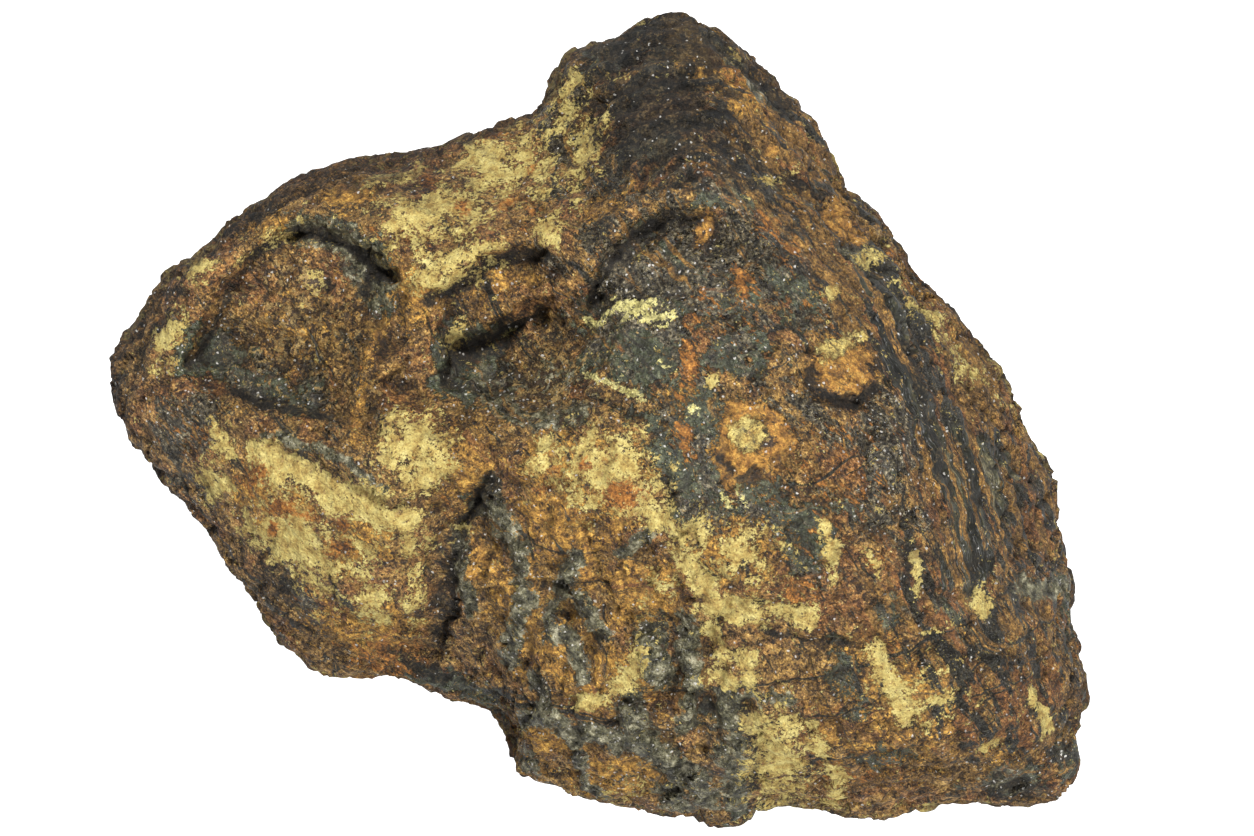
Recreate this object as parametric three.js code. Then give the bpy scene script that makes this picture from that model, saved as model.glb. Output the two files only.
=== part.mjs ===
// A weathered iron meteorite: one solid lump, broken and scooped by its fall,
// lying on its flattest broken side.
//
// Millimetres. +Z is up, +X runs along the longest side, and the origin is on
// the surface the stone lies on, under the middle of its outline.
//
// The stone is drawn like a survey. A closed outline gives its edge as seen
// from above, spot heights give the upper face and the underside, and a thin
// bending surface is laid through each set of spots. Both faces then round
// over at the outline, where they meet.

import * as THREE from "three";
import { mergeVertices } from "three/addons/utils/BufferGeometryUtils.js";
import { ImprovedNoise } from "three/addons/math/ImprovedNoise.js";

// ---------------------------------------------------------------- sizes

const LENGTH = 90; // longest side of the finished stone
const RINGS = 31; // rings of vertices from the top to the outline
const CROWD = 0.55; // how far the rings crowd towards the outline, 0 to 1
const ROUNDING = { upper: 10, under: 9 }; // a higher power rounds over closer to the edge
const BEND_EASE = 5; // lets the surfaces miss a spot slightly, for calm slopes
const LUMPS = { size: 8, height: 0.55 }; // soft lumps all over
const GRAIN = { size: 3.4, height: 0.22 }; // finer lumps on those

// The outline, anticlockwise from the right-hand end, with the height of the
// edge above the resting plane as the third number.
const OUTLINE = [
  [43.0, -13.0, 9], [42.1, -11.3, 9], [41.9, -8.0, 9], [41.8, -3.9, 9],
  [38.8, 0.3, 7], [35.5, 6.1, 8], [32.6, 9.9, 8], [30.3, 13.1, 7],
  [28.1, 15.2, 6], [26.3, 18.3, 6], [23.0, 20.9, 7], [22.0, 23.5, 8],
  [19.9, 27.3, 8], [17.0, 30.6, 8], [14.4, 33.5, 9], [12.0, 35.0, 10],
  [9.8, 36.1, 11], [6.3, 37.4, 11], [3.2, 35.9, 10], [1.3, 34.5, 9],
  [-1.4, 34.2, 8], [-4.0, 32.9, 7], [-4.5, 31.1, 7], [-5.3, 29.1, 7],
  [-8.3, 27.2, 7], [-12.8, 25.9, 8], [-17.0, 24.8, 8], [-21.5, 24.1, 9],
  [-26.5, 22.6, 9], [-29.4, 21.2, 9], [-30.9, 19.8, 9], [-34.2, 17.9, 9],
  [-36.0, 16.1, 9], [-39.0, 14.0, 9], [-42.0, 9.5, 9], [-44.9, 5.0, 9],
  [-44.3, 2.2, 9], [-43.1, -1.2, 9], [-41.6, -3.5, 9], [-39.8, -5.2, 9],
  [-36.5, -9.5, 9], [-34.0, -13.4, 9], [-31.2, -17.0, 8], [-29.8, -19.3, 7],
  [-27.0, -22.6, 6], [-24.3, -23.5, 6], [-20.5, -23.4, 6], [-17.0, -23.6, 5],
  [-13.2, -25.1, 4], [-10.0, -26.7, 4], [-8.7, -29.0, 5], [-7.9, -31.2, 6],
  [-6.4, -33.0, 8], [-3.0, -33.7, 8], [0.6, -35.0, 8], [6.0, -35.9, 7],
  [10.6, -37.0, 7], [13.3, -37.0, 8], [15.2, -35.6, 9], [20.4, -35.4, 9],
  [25.0, -36.5, 8], [30.5, -35.5, 7], [35.6, -35.1, 9], [40.2, -34.9, 9],
  [42.9, -33.4, 10], [43.9, -30.6, 10], [43.5, -29.0, 10], [44.9, -25.2, 10],
  [43.9, -20.5, 10], [43.2, -17.0, 10],
];

// Spot heights of the upper face: x, y, height.
const UPPER = [
  // The spine: a broad worn crest from the left-hand tip to the middle.
  [-42.5, 4.5, 16.5], [-38, 2, 19], [-33, 1.5, 21], [-28, -1.3, 23.5],
  [-22, -3, 26.5], [-16, -2.5, 28.5], [-8, -1.2, 31], [-1, -1.8, 33.5],
  [5, -6, 34.5], [7.5, -12, 34.5], [14, -16.5, 33.5], [19, -18, 32.5],
  // The large scoop at the left, and the crest that stands round it.
  [-41.5, 8, 17], [-37.7, 8, 19.5], [-34, 12.5, 20.5], [-30.5, 16.8, 21.3],
  [-25.5, 18.8, 22], [-20, 17.4, 23.4], [-17, 13.8, 24.8], [-31, 13, 17.2],
  [-34.6, 8, 16], [-35.5, 5, 15.8], [-31, 4, 16.6], [-28, 9, 18.2],
  [-25, 11, 18.4], [-22.2, 13.4, 18.6], [-24.5, 5, 19.8], [-26, 1.6, 19.3],
  [-19.2, 10.5, 20.4], [-20.5, 4.5, 23], [-17, 3.5, 23.2], [-17.5, 7.2, 23.6],
  // The second scoop: a curved step, a shelf, and a lower floor.
  [-15, 11.4, 25], [-9.8, 15.6, 26.2], [-4.6, 17, 27], [-9.4, 12.2, 23.2],
  [-5.6, 13.8, 23.4], [-8.5, 10.4, 24.6], [-12.2, 6, 22], [-8, 7.4, 21.4],
  [-3.6, 9, 23.6], [-9, 3, 23.6], [-4.5, 3.4, 25.6], [-2, 6, 26.2],
  // The slope above the scoops, hollowed like a dish.
  [-33, 17.3, 19.2], [-28, 20.6, 19.4], [-22, 21, 19.8], [-15, 21, 19.4],
  [-9, 23, 18.2], [-13, 16, 23.2], [-6, 20, 20.6], [-4.4, 26.5, 16.8],
  [-2.6, 30.5, 16.6],
  // The peak, with a groove at its foot.
  [1.5, 32.2, 19], [6.5, 34.2, 18.8], [4, 29, 21.6], [0.4, 25.2, 21.2],
  [-1.2, 21.6, 22.2], [4.5, 23.2, 24.6], [8.3, 24.6, 26.6], [10, 30, 21.4],
  [13, 28, 21.2], [14.5, 23.8, 22.2], [18.6, 24.6, 17.6], [19.2, 20.8, 20.4],
  // The crest that crosses under the peak, and the step below it.
  [-2.2, 12.8, 28.8], [0.6, 16.2, 29.6], [5, 20, 30], [10, 20.8, 29.4],
  [14.6, 19.6, 27.4], [0.6, 11.2, 27.2], [4.6, 16.8, 27.6], [9.2, 17.4, 28],
  // The dome: the highest part.
  [1.4, 6.5, 30], [5, 11, 30.6], [10, 11, 32], [8, 4, 34], [15, 6, 34.6],
  [12, -1.5, 36], [20, 0, 35.4], [25, -3, 34.4], [14, -9, 36], [21, -9, 35.2],
  [16, 13, 31], [20.5, 9, 30.8], [21.8, 4.2, 32.2], [24.4, 12, 27], [22.5, 17, 23.6],
  // The right-hand flank, which falls away in long bands.
  [27.6, 7, 27.4], [29.2, 1, 28.8], [30, -6, 30.4], [31, 4.5, 23.6],
  [34, -1, 23.6], [34.6, -8, 26], [37.6, -4.2, 19.4], [39.4, -10, 19.6],
  [30.4, -13.4, 31.2], [37, -14.2, 25.2], [40.6, -15.6, 21],
  // The lower right part, which slopes to a thick edge.
  [25, -15, 33.4], [30, -20, 30], [36, -20, 27], [40.8, -22, 22],
  [25, -23, 30], [31.5, -26.4, 27.2], [37, -26.6, 24.4], [41, -28.4, 20.6],
  [20, -24.4, 30.4], [25, -30, 26.2], [31, -32, 22.6], [37.8, -32.6, 18.4],
  [19, -31.2, 25.2], [14.8, -24.4, 30], [15, -31, 26], [9.6, -26, 27.2],
  [10.8, -33, 22], [22, -34.2, 20.4],
  // The lobe at the bottom, knobbly, with a deep crease down its left side.
  [0, -9.2, 32], [-5.4, -6.8, 30.2], [-8.8, -8, 28], [-12, -8.8, 24],
  [-13, -13.8, 21.6], [-13.6, -20, 16.4], [-9, -12.4, 26], [-8.8, -17.4, 23.6],
  [-4, -13, 28.4], [1.5, -14.4, 29.4], [6, -17.4, 30.6], [-2.5, -18, 26.4],
  [3, -20.6, 28.4], [-6, -22, 22.8], [0, -25.4, 25.4], [5, -26.6, 25.2],
  [-6.6, -28.4, 18.6], [-1, -30.8, 20.6], [4.4, -32.4, 19.6], [8, -20.8, 28],
  // The lower left facet, nearly flat, which slopes to a thin edge.
  [-16.6, -7.4, 27], [-21.5, -6, 25.6], [-26, -4.2, 23.4], [-33, -2, 20.6],
  [-16.4, -11.4, 24.2], [-20, -12, 23.4], [-26, -10.6, 21.6], [-32, -8, 19],
  [-37, -4.4, 17.6], [-16.6, -17.2, 20.2], [-20, -18, 18.8], [-25.6, -17, 17.8],
  [-30.4, -13.6, 17.2], [-24.6, -21.2, 14.6], [-17.6, -21.8, 14.2],
];

// Spot heights of the underside. The ones below zero are cut off flat by the
// resting plane, which leaves the broken face that the stone lies on.
const UNDER = [
  [-41, 5, 4.2], [-37, 12, 3.4], [-37, -1, 2.6], [-30, 17.5, 4], [-29, 6, 1],
  [-32, -9, 2.8], [-24, 20, 4.4], [-22, 10, 0.4], [-24, -3, 0.2], [-25, -18, 2.4],
  [-15, 21, 3.4], [-14, 10, -0.4], [-14, 0, -1], [-15, -12, 0], [-17, -20, 2],
  [-6, 25, 3], [-5, 14, 0.4], [-5, 4, -1.2], [-5, -8, -1.4], [-7, -18, 0],
  [-9, -23, 1.4], [3, 32, 4], [3, 22, 1.8], [4, 12, -0.8], [4, 0, -1.8],
  [4, -12, -1.8], [3, -22, -0.8], [2, -31, 1.8], [12, 30, 3.6], [12, 19, 0.8],
  [13, 8, -1.4], [13, -5, -2], [13, -17, -1.8], [12, -27, -0.4], [14, -33.5, 2.4],
  [20, 20, 2.8], [22, 10, 0], [22, -2, -1.4], [22, -14, -1.4], [22, -25, -0.6],
  [24, -33, 1.6], [29, 8, 1.6], [31, -4, -0.2], [31, -15, -0.4], [31, -26, 0.4],
  [38.5, -4, 2.4], [40, -14, 1.8], [40, -24, 1.4], [38.5, -32, 2.2],
  // Shallow scoops and a low rib, clear of the resting face.
  [-19, 15.5, 4.6], [-28, -13, 4.4], [-20, -8, 1.6], [36, -9, 2.6], [28, 14, 4.6],
  [-33, 6, 4.4], [8, 26, 1.4], [-10, 19, 3.2], [36, -20, 0.2],
];

// ---------------------------------------------------------------- surfaces

// The weights that solve a square set of equations, by elimination.
function solve(rows) {
  const n = rows.length;
  for (let i = 0; i < n; i++) {
    let best = i;
    for (let j = i + 1; j < n; j++) {
      if (Math.abs(rows[j][i]) > Math.abs(rows[best][i])) best = j;
    }
    [rows[i], rows[best]] = [rows[best], rows[i]];
    for (let j = 0; j < n; j++) {
      if (j === i) continue;
      const share = rows[j][i] / rows[i][i];
      for (let k = i; k <= n; k++) rows[j][k] -= share * rows[i][k];
    }
  }
  return rows.map((row, i) => row[n] / row[i]);
}

// A thin plate bent through the spots: returns its height as a function.
function bentSheet(spots) {
  const bend = (dx, dy) => {
    const far = dx * dx + dy * dy;
    return far > 0 ? far * Math.log(far) : 0;
  };
  const rows = spots.map(([x, y, z], i) => [
    ...spots.map(([u, v], j) => bend(x - u, y - v) + (i === j ? BEND_EASE : 0)),
    1, x, y, z,
  ]);
  rows.push([...spots.map(() => 1), 0, 0, 0, 0]);
  rows.push([...spots.map(([x]) => x), 0, 0, 0, 0]);
  rows.push([...spots.map(([, y]) => y), 0, 0, 0, 0]);
  const weights = solve(rows);
  const [level, slopeX, slopeY] = weights.slice(-3);
  return (x, y) =>
    spots.reduce(
      (z, [u, v], i) => z + weights[i] * bend(x - u, y - v),
      level + slopeX * x + slopeY * y,
    );
}

const upperFace = bentSheet(UPPER);
const underFace = bentSheet(UNDER);
const edge = new THREE.CatmullRomCurve3(
  OUTLINE.map(([x, y, z]) => new THREE.Vector3(x, y, z)),
  true,
  "centripetal",
);
edge.arcLengthDivisions = 1200;

// ---------------------------------------------------------------- the stone

// An octahedron's corner grid, flattened: how far round the outline a vertex
// lies, how far out from the middle, and on which face.
function gridPlace(vertex) {
  const flat = Math.abs(vertex.x) + Math.abs(vertex.y);
  const whole = flat + Math.abs(vertex.z);
  const out = flat / whole;
  const side = Math.abs(vertex.z) / whole < 1e-6 ? 0 : Math.sign(vertex.z);
  if (out < 1e-6) return { round: 0, out: 0, side };
  const across = Math.abs(vertex.y) / flat;
  const quarter = [
    [vertex.x > 0 && vertex.y >= 0, across],
    [vertex.x <= 0 && vertex.y > 0, 2 - across],
    [vertex.x < 0 && vertex.y <= 0, 2 + across],
    [vertex.x >= 0 && vertex.y < 0, 4 - across],
  ].find(([here]) => here)[1];
  return { round: (quarter / 4) % 1, out, side };
}

function placeOf(vertex) {
  const { round, out, side } = gridPlace(vertex);
  const rim = edge.getPointAt(round);
  const spread = THREE.MathUtils.lerp(out, Math.sin((out * Math.PI) / 2), CROWD);
  const x = rim.x * spread;
  const y = rim.y * spread;
  if (side === 0) return rim;
  const face = side > 0 ? upperFace(x, y) : underFace(x, y);
  const power = side > 0 ? ROUNDING.upper : ROUNDING.under;
  const rounded = Math.sqrt(1 - spread ** power);
  const z = THREE.MathUtils.lerp(rim.z, face, rounded);
  return new THREE.Vector3(x, y, z);
}

const lumps = new ImprovedNoise();
function lumpAt(p, { size, height }) {
  return height * lumps.noise(p.x / size + 7.3, p.y / size + 2.9, p.z / size + 5.1);
}

function stoneGeometry() {
  const grid = new THREE.OctahedronGeometry(1, RINGS);
  grid.deleteAttribute("normal");
  grid.deleteAttribute("uv");
  const geometry = mergeVertices(grid, 1e-5);
  const position = geometry.getAttribute("position");
  const places = [];
  for (let i = 0; i < position.count; i++) {
    const p = placeOf(new THREE.Vector3().fromBufferAttribute(position, i));
    position.setXYZ(i, p.x, p.y, p.z);
    places.push(p);
  }
  geometry.computeVertexNormals();
  const normal = geometry.getAttribute("normal");
  places.forEach((p, i) => {
    const push = lumpAt(p, LUMPS) + lumpAt(p, GRAIN);
    p.addScaledVector(new THREE.Vector3().fromBufferAttribute(normal, i), push);
    position.setXYZ(i, p.x, p.y, Math.max(p.z, 0));
  });
  geometry.computeBoundingBox();
  const box = geometry.boundingBox;
  const scale = LENGTH / (box.max.x - box.min.x);
  geometry.translate(-(box.min.x + box.max.x) / 2, -(box.min.y + box.max.y) / 2, 0);
  geometry.scale(scale, scale, scale);
  geometry.computeVertexNormals();
  return geometry;
}

const rustedIron = new THREE.MeshStandardMaterial({
  color: new THREE.Color(0.27, 0.18, 0.1),
  roughness: 0.75,
  metalness: 0.15,
});

const meteorite = new THREE.Mesh(stoneGeometry(), rustedIron);
meteorite.name = "meteorite";

const stone = new THREE.Group();
stone.add(meteorite);

export default stone;
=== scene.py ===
import math

import bmesh
import bpy
import numpy as np
from mathutils import Matrix, Vector, noise


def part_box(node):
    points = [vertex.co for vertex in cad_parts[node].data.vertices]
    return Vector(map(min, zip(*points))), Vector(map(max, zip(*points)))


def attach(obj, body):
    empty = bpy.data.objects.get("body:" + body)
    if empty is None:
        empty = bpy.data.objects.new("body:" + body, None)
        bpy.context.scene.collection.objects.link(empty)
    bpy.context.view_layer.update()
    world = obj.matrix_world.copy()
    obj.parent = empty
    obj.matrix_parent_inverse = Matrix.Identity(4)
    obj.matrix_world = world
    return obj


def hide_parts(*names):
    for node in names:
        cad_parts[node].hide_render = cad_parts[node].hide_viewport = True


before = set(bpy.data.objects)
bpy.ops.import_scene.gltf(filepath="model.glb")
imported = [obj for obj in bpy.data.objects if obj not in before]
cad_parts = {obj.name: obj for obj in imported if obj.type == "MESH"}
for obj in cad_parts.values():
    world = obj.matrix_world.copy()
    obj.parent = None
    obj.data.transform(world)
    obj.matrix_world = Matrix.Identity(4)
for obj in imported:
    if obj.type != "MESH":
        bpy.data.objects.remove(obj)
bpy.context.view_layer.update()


# ---------------------------------------------------------------- the view
# The stone is looked at from straight above through a long lens, with its
# peak at the top. Plan millimetres are measured on a stone 90 of them long,
# from the middle of its outline, with the peak towards +Y.

PLAN_LENGTH = 90.0
low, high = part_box("meteorite")
mm = (high.x - low.x) / PLAN_LENGTH
plan_origin = Vector(((low.x + high.x) / 2 - 0.02 * mm, (low.y + high.y) / 2 - 0.2 * mm, low.z))

VIEW_WIDTH = 114.6 * mm
VIEW_CENTRE = Vector((2.6, 0.14, 10.0)) * mm
LENS, SENSOR = 200.0, 36.0

camera = bpy.data.objects.new("camera", bpy.data.cameras.new("camera"))
bpy.context.scene.collection.objects.link(camera)
camera.data.lens = LENS
camera.data.sensor_width = SENSOR
distance = VIEW_WIDTH * LENS / SENSOR
camera.location = plan_origin + VIEW_CENTRE + Vector((0, 0, distance))
camera.data.clip_start = distance * 0.1
camera.data.clip_end = distance * 10
bpy.context.scene.camera = camera


# ---------------------------------------------------------------- the stone's body
# One lump of rusted iron. The fall broke and scooped it, and weathering has
# left sharp crests over the scoops, cracks along its joints, knobs where hard
# grains stand out, and a granular crust over everything.

CRUST_STEP = 0.43 * mm  # the size of the faces that carry the relief


def body_mesh():
    """The solid as one closed skin of small even faces."""
    solid = bmesh.new()
    solid.from_mesh(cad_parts["meteorite"].data)
    bmesh.ops.remove_doubles(solid, verts=solid.verts, dist=0.001 * mm)
    every_way = {"use_axis_x": True, "use_axis_y": True, "use_axis_z": True}
    bmesh.ops.smooth_vert(solid, verts=solid.verts, factor=0.4, **every_way)
    mesh = bpy.data.meshes.new("meteorite_solid")
    solid.to_mesh(mesh)
    solid.free()
    body = bpy.data.objects.new("meteorite_stone", mesh)
    bpy.context.scene.collection.objects.link(body)
    rounded = body.modifiers.new("rounded", "SUBSURF")
    rounded.levels = rounded.render_levels = 1
    skin = body.modifiers.new("skin", "REMESH")
    skin.mode = "VOXEL"
    skin.voxel_size = CRUST_STEP
    shown = body.evaluated_get(bpy.context.evaluated_depsgraph_get())
    body.data = bpy.data.meshes.new_from_object(shown)
    body.modifiers.clear()
    body.data.name = "meteorite_stone"
    return body


def read_points(mesh, what):
    values = np.empty(len(mesh.vertices) * 3, np.float32)
    mesh.vertices.foreach_get(what, values)
    return values.reshape(-1, 3).astype(float)


def write_places(mesh, places):
    mesh.vertices.foreach_set("co", (places * mm + plan_origin).astype(np.float32).ravel())
    mesh.update()


def smooth_step(start, end, value):
    share = np.clip((value - start) / (end - start), 0, 1)
    return share * share * (3 - 2 * share)


def rough(points, size, octaves=3, shift=0.0):
    """Natural unevenness, about -1 to 1, with its largest lumps of that size."""
    moved = points / size + shift
    return np.array([noise.fractal(point, 0.9, 2.0, octaves) for point in moved.tolist()])


def chipped(points, size, tilt, step):
    """Small flat breaks: each cell of the iron leans and stands a little unlike its neighbours."""
    offsets = np.empty(len(points))
    for number, point in enumerate((points / size).tolist()):
        seed = noise.voronoi(point)[1][0]
        lean = noise.noise_vector(seed * 5.3)
        leaning = (Vector(point) - seed).dot(lean) * tilt * size
        offsets[number] = leaning + noise.noise(seed * 7.1) * step
    return offsets


noise.seed_set(5)  # the leaning chips come out the same in every run
stone = body_mesh()
stone_mesh = stone.data
place = (read_points(stone_mesh, "co") - plan_origin) / mm
facing = read_points(stone_mesh, "normal")
broad_facing = facing
upward = smooth_step(0.05, 0.45, facing[:, 2])  # 1 where the skin looks up, 0 on the sides

# Lines drawn over the stone wander a little, as breaks in iron do.
wander_x = place[:, 0] + 0.45 * rough(place, 2.6, 3, 11.0)
wander_y = place[:, 1] + 0.45 * rough(place, 2.6, 3, 37.0)


def line_over(path):
    """Each point's distance from a line, positive on its left, and its share of the way along it."""
    nearest = np.full(len(place), 1e9)
    side = np.zeros(len(place))
    share = np.zeros(len(place))
    steps = [math.dist(a, b) for a, b in zip(path, path[1:])]
    done = 0.0
    for (ax, ay), (bx, by), length in zip(path, path[1:], steps):
        dx, dy = (bx - ax) / length, (by - ay) / length
        along = np.clip((wander_x - ax) * dx + (wander_y - ay) * dy, 0, length)
        away_x, away_y = wander_x - ax - along * dx, wander_y - ay - along * dy
        away = np.hypot(away_x, away_y)
        closer = away < nearest
        nearest[closer] = away[closer]
        side[closer] = np.sign(dx * (wander_y - ay) - dy * (wander_x - ax))[closer]
        share[closer] = ((done + along) / sum(steps))[closer]
        done += length
    return nearest * side, share


def ends_fade(share, over=0.16):
    return smooth_step(0, over, share) * smooth_step(0, over, 1 - share)


def crest(path, rise, drop, back=2.2, front=2.6, slope=0.4):
    """Ground that stands up on the left of the path and falls off sharply on its right."""
    away, share = line_over(path)
    raised = rise * np.exp(-((away / back) ** 2))
    sunk = -drop * np.exp(-((away / front) ** 2))
    return ends_fade(share) * (sunk + (raised - sunk) * smooth_step(-slope, slope, away))


def groove(path, width, depth):
    away, share = line_over(path)
    return -depth * ends_fade(share) * np.exp(-((away / width) ** 2))


def knob(x, y, across, height):
    return height * np.exp(-(np.hypot(wander_x - x, wander_y - y) / across) ** 2 * 2.5)


relief = np.zeros(len(place))

# Crests over the scoops: the left-hand scoop's rim, the two lips of the second
# scoop, its left wall, the edge of the spine, and the lip that hangs over the dome.
for path, *shape in (
    ([(-38, 4), (-36.4, 8), (-34.4, 11.4), (-32.6, 14), (-30.4, 16.2)], 0.7, 1.5, 2.0, 2.4),
    ([(-31, 15), (-28.6, 17.4), (-26, 17.8), (-23, 16.8), (-20, 15), (-18.2, 13), (-18.4, 10.6)],
     0.6, 2.2, 1.8, 2.8, 0.7),
    ([(-19.6, 13), (-20.6, 11.4), (-20.4, 9.2)], 0.4, 0.9, 1.2, 1.2),
    ([(-15.6, 10.6), (-13.6, 12), (-12, 12.8), (-9.8, 14.6), (-7, 15.3), (-4.4, 15), (-3, 13.8)],
     0.6, 1.8, 2.0, 3.0, 0.8),
    ([(-14, 6.2), (-12, 7.4), (-10, 8.1), (-8, 9.3), (-5.4, 10.2), (-3.4, 11)],
     0.5, 1.9, 2.0, 3.0, 0.8),
    ([(-12, 2.2), (-13.6, 3.6), (-14, 7), (-13.6, 11)], 0.3, 1.3, 1.6, 1.8),
    ([(5, -0.8), (0.4, 1.2), (-3.5, 0.7), (-8, 1.6), (-13, 3)], 0.5, 0.9),
    ([(-1.8, 8), (-1, 11), (0.8, 14.8), (3.4, 17.4), (6, 18.8), (9, 18.4), (12, 17)],
     0.7, 1.4, 2.2, 2.6, 0.6),
    ([(-18, -2), (-22, -0.8), (-26, 0.6), (-31, 1.6), (-37.6, 3)], 0.5, 0.9),
    ([(-34, 0), (-30, -1.7), (-26, -3), (-22.5, -5), (-19, -7), (-15.5, -7.8)], 0.5, 0.7),
    ([(-17.4, 12), (-17.6, 8), (-16.4, 4), (-16.6, 1)], 0.35, 0.5, 1.4, 1.4),
):
    relief += crest(path, *shape)

# Furrows between the scoops and round the inclusions. A depth below zero is a raised seam.
for path, width, depth in (
    ([(-19.8, 9), (-20.8, 5), (-21.6, 0), (-22.4, -3)], 0.7, -0.9),
    ([(19, 5.4), (19.2, 3), (20.8, 1.7), (23, 1.6), (24.8, 3.4)], 0.6, 0.7),
    ([(10.8, -1), (10.8, -4), (12.4, -5.6), (14.2, -4.2), (17, -3.4)], 0.5, 0.5),
    ([(-16.4, 6.6), (-19.6, 4.2), (-21.4, 1.4)], 0.6, -0.6),
    ([(-18.6, 4.6), (-17.4, 2.4), (-14.6, 1.6)], 0.9, 0.8),
):
    relief += groove(path, width, depth)

# The bottom lobe stands clear of the facet beside it, across a deep crease.
lobe_edge = [(-7, -4.6), (-9.8, -6.6), (-11.8, -9.4), (-12.4, -14), (-13, -18), (-14.6, -22.8)]
relief += crest(lobe_edge, 0.7, 1.6, 2.0, 1.8, 0.6)

# Hard dark ridges, with a dull shine, stand out of the lobe's softer rust.
lobe_ridges = (
    ([(-9.2, -5.6), (-8.9, -8), (-7.6, -10.6), (-6.6, -13.2)], 1.5, 0.5),
    ([(-12.4, -10.4), (-12.5, -14), (-11.4, -16.8)], 1.1, 0.4),
    ([(-6.8, -14.6), (-6.2, -16), (-7.4, -18), (-8, -21.6)], 1.3, 0.6),
    ([(-3.4, -15), (-1.2, -16.3), (0.4, -18.8)], 1.4, 0.7),
    ([(-3.2, -15.2), (-4.5, -17.6), (-3.8, -19.4), (-2.6, -19)], 1.0, 0.5),
    ([(-2.2, -19.4), (-1.5, -22.8)], 1.0, 0.5),
    ([(-2, -12), (-3.2, -14.6)], 1.2, 0.5),
    ([(4.9, -9.6), (2, -12.2)], 0.8, 0.35),
    ([(4.6, -19.2), (5.6, -22.8)], 2.6, 0.5),
    ([(8, -17.6), (7.9, -21), (8.8, -24), (7.8, -27.4)], 1.5, 0.8),
    ([(3, -25.2), (3.4, -28), (5, -30), (7.6, -31.8)], 2.4, 1.0),
    ([(-1.8, -28.4), (0.6, -28.2), (3.2, -29)], 1.6, 0.6),
    ([(-2.2, -29.4), (-1.2, -32.6), (1.6, -35)], 0.9, 0.5),
    ([(-6.8, -27.2), (-4.2, -26.4), (-3, -28.2)], 1.6, 0.5),
    ([(-5.6, -22.8), (-5, -25.6)], 1.1, 0.4),
    ([(-8.2, -29.2), (-6.4, -32.4)], 1.8, 0.3),
    ([(8.6, -32.2), (10, -34)], 2.4, 0.6),
    ([(6.4, -34), (7.4, -35.2)], 2.6, 0.8),
)
for path, width, height in lobe_ridges:
    away, share = line_over(path)
    relief += 1.5 * height * ends_fade(share, 0.1) * np.exp(-((away / (0.2 + 0.5 * width)) ** 2))

# Furrows between those ridges.
for path, width, depth in (
    ([(-7.4, -5), (-7, -8), (-5.6, -11)], 0.8, 0.5),
    ([(6.8, -18), (6.8, -22), (6.4, -26)], 0.7, 0.8),
    ([(-0.6, -26.8), (2, -27.2)], 0.7, 0.5),
    ([(-2, -18.4), (-2.8, -17)], 0.9, 0.8),
    ([(9.6, -24), (10.2, -28), (10, -31)], 0.7, 0.8),
    ([(13, -24), (14.2, -28), (14, -34)], 0.6, 0.9),
    ([(-10, -6), (-10.6, -9), (-9, -12), (-8.6, -15)], 1.2, 0.9),
    ([(9, -17.4), (4, -18.4), (0.8, -16)], 0.8, 0.5),
    ([(-1, -24.6), (-4, -24.6), (-8, -23)], 0.9, 0.6),
):
    relief += groove(path, width, depth)

# The peak, the flank and the lower right part meet in creases and cracks.
for path, *shape in (
    ([(12.4, 26.4), (14.2, 23.8), (17, 22.2), (20, 20.6), (23, 20)], 0.35, 0.45, 2.2, 2.0),
    ([(6, 32), (9, 29), (11.6, 26.4), (13, 24)], 0.4, 0.6, 1.6, 1.6),
    ([(-0.8, 31.4), (0.2, 28), (-0.6, 24.6), (-1.4, 21.4)], 0.5, 0.7, 1.8, 1.8),
    ([(31.4, -9), (30.8, -5), (29.6, 1), (28.2, 7), (25.6, 11.6), (22, 13.4)], 0.4, 0.9, 2.2, 2.4),
):
    relief += crest(path, *shape)
for path, width, depth in (
    ([(25, 13), (28.4, 8), (32, 2), (34, -4), (35.4, -9)], 0.6, 0.4),
    ([(12, -18), (15, -18.5), (18, -19.3), (22, -19.8), (24.5, -20.8)], 0.35, 0.45),
):
    relief += groove(path, width, depth)
relief += crest([(44, -14.4), (41, -13), (38, -12.6), (34, -13.4), (30, -14.4)], 0.5, 0.5, 1.2, 1.4)
for path, width, depth in (
    ([(10, -17.8), (14, -15.8), (19, -16.6), (22.6, -15.2)], 0.35, 0.35),
    ([(18, -22), (20, -26), (23.4, -30), (24.6, -34)], 0.5, 0.45),
    ([(26, -31), (31, -31.4), (35, -32.8)], 0.6, 0.6),
):
    relief += groove(path, width, depth)

# Hard grains that stand proud, and pits where others fell out.
for x, y, across, height in (
    (21.5, 4.5, 3.2, 0.9), (13.5, -2.4, 3.0, 0.5), (21.6, 18, 2.2, 0.6), (23.6, 16.4, 1.6, 0.4),
    (9.5, 17, 1.0, 0.35), (2, -14, 3.2, 0.6), (-4.5, -21, 2.2, 0.5), (8.8, 22.8, 2.4, 0.6),
    (4.5, 23.4, 2.4, 0.6), (3, 28, 2.6, 0.5), (-27, 2, 2.0, 0.5), (-20, 3.6, 1.8, 0.6),
    (-10, -13.6, 2.2, 0.5), (3, -21.6, 2.4, 0.5), (2, -32, 3.0, 0.5), (-5, -29.6, 2.6, 0.5),
):
    relief += knob(x, y, across, height)
for x, y, across, depth in (
    (37.5, -33, 1.8, 1.8), (-7.6, -5.6, 1.0, 0.8), (19.4, 2.2, 0.9, 0.4), (16.8, 23, 0.5, 0.5),
    (-30, 12, 2.4, 0.5), (-25, 6, 2.2, 0.4), (5.6, 6.6, 2.0, 0.35), (-34.6, 6.4, 4.0, 0.6),
    (27, -17, 1.6, 0.4), (18.4, -11.4, 1.2, 0.4), (33, -17, 2.0, 0.3), (21.5, -23, 1.4, 0.5),
):
    relief -= knob(x, y, across, depth)

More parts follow.
